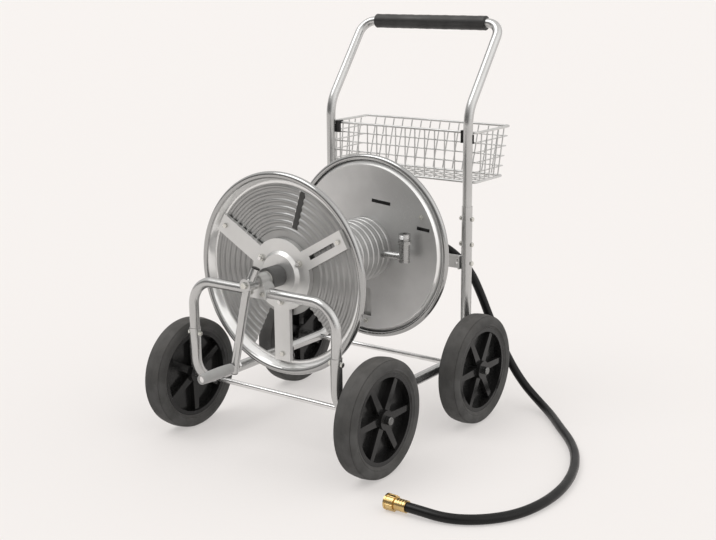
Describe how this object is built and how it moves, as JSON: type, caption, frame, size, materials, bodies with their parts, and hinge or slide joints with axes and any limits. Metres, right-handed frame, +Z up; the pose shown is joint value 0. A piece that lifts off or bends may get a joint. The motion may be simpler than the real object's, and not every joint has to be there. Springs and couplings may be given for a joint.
{
  "type": "hose_reel_cart",
  "caption": "Wheeled garden hose reel cart in grey tube steel, with a cranked reel, a wire basket, a foam-gripped push handle and a leader hose",
  "frame": {"origin": "on the floor, under the middle of the cart's box without its hose", "axes": "+Z up, +Y from the crank towards the handle, +X to the right when seen from the crank"},
  "size_m": [0.9213, 0.8252, 0.911],
  "materials": {
    "grey_tube": "satin grey enamel",
    "grey_plate": "satin grey enamel",
    "zinc_sheet": "zinc-coated pressed sheet",
    "dark_sheet": "satin dark grey",
    "steel": "turned steel",
    "bright_steel": "plated",
    "zinc_bolts": "zinc plated",
    "tyre_rubber": "matt",
    "black_plastic": "satin",
    "grey_plastic": "satin",
    "bush_plastic": "satin",
    "foam": "closed-cell foam",
    "basket_wire": "satin grey enamel",
    "brass": "turned brass",
    "hose_rubber": "satin"
  },
  "bodies": {
    "cart": {"left_side_frame": "grey_tube", "right_side_frame": "grey_tube", "front_hoop": "grey_tube", "handle_tube": "grey_tube", "hand_grip": "foam", "rear_crossbar": "grey_plate", "frame_bolts": "zinc_bolts", "frame_nuts": "zinc_bolts", "front_axle": "steel", "rear_axle": "steel", "axle_spacers": "steel", "axle_caps": "bright_steel", "front_saddle": "grey_plate", "rear_bearing_block": "grey_plate", "front_bush": "bush_plastic", "rear_bush": "bush_plastic", "bearing_bolts": "zinc_bolts", "bearing_nuts": "zinc_bolts", "basket_rim": "basket_wire", "basket_front": "basket_wire", "basket_back": "basket_wire", "basket_left": "basket_wire", "basket_right": "basket_wire", "basket_floor": "basket_wire", "basket_clips": "black_plastic", "inlet_elbow": "brass", "inlet_seals": "hose_rubber", "inlet_ferrule": "brass", "leader_hose": "hose_rubber", "coupling_tail": "brass", "coupling_washer": "hose_rubber"},
    "reel": {"front_disc": "zinc_sheet", "rear_disc": "zinc_sheet", "front_spider": "grey_plate", "rear_spider": "grey_plate", "drum": "dark_sheet", "reel_axle": "steel", "front_sleeve": "black_plastic", "rear_sleeve": "black_plastic", "slot_grommets": "black_plastic", "tie_rods": "steel", "tie_rod_nuts": "zinc_bolts", "spider_bolts": "zinc_bolts", "spider_nuts": "zinc_bolts", "outlet_pipe": "steel", "outlet_elbow": "steel", "crank_arm": "grey_tube", "crank_plugs": "black_plastic", "crank_bolt": "zinc_bolts", "crank_pin": "steel"},
    "crank_handle": {"crank_grip": "grey_plastic"},
    "front_left_wheel_set": {"front_left_wheel": "black_plastic", "front_left_tyre": "tyre_rubber"},
    "front_right_wheel_set": {"front_right_wheel": "black_plastic", "front_right_tyre": "tyre_rubber"},
    "rear_left_wheel_set": {"rear_left_wheel": "black_plastic", "rear_left_tyre": "tyre_rubber"},
    "rear_right_wheel_set": {"rear_right_wheel": "black_plastic", "rear_right_tyre": "tyre_rubber"},
    "hose_nut": {"coupling_nut": "brass"}
  },
  "joints": [
    {"name": "reel_turn", "type": "hinge", "parent": "cart", "child": "reel", "pos_m": [0, -0.038, 0.39], "axis": [0, 1, 0], "continuous": true},
    {"name": "crank_handle_turn", "type": "hinge", "parent": "reel", "child": "crank_handle", "pos_m": [-0.04274, -0.3666, 0.20487], "axis": [0, 1, 0], "continuous": true},
    {"name": "hose_nut_turn", "type": "hinge", "parent": "cart", "child": "hose_nut", "pos_m": [0.38, -0.338, 0.0168], "axis": [1, 0, 0], "continuous": true},
    {"name": "front_left_wheel_roll", "type": "hinge", "parent": "cart", "child": "front_left_wheel_set", "pos_m": [-0.262, -0.217, 0.127], "axis": [1, 0, 0], "continuous": true},
    {"name": "front_right_wheel_roll", "type": "hinge", "parent": "cart", "child": "front_right_wheel_set", "pos_m": [0.262, -0.217, 0.127], "axis": [1, 0, 0], "continuous": true},
    {"name": "rear_left_wheel_roll", "type": "hinge", "parent": "cart", "child": "rear_left_wheel_set", "pos_m": [-0.262, 0.171, 0.127], "axis": [1, 0, 0], "continuous": true},
    {"name": "rear_right_wheel_roll", "type": "hinge", "parent": "cart", "child": "rear_right_wheel_set", "pos_m": [0.262, 0.171, 0.127], "axis": [1, 0, 0], "continuous": true}
  ]
}
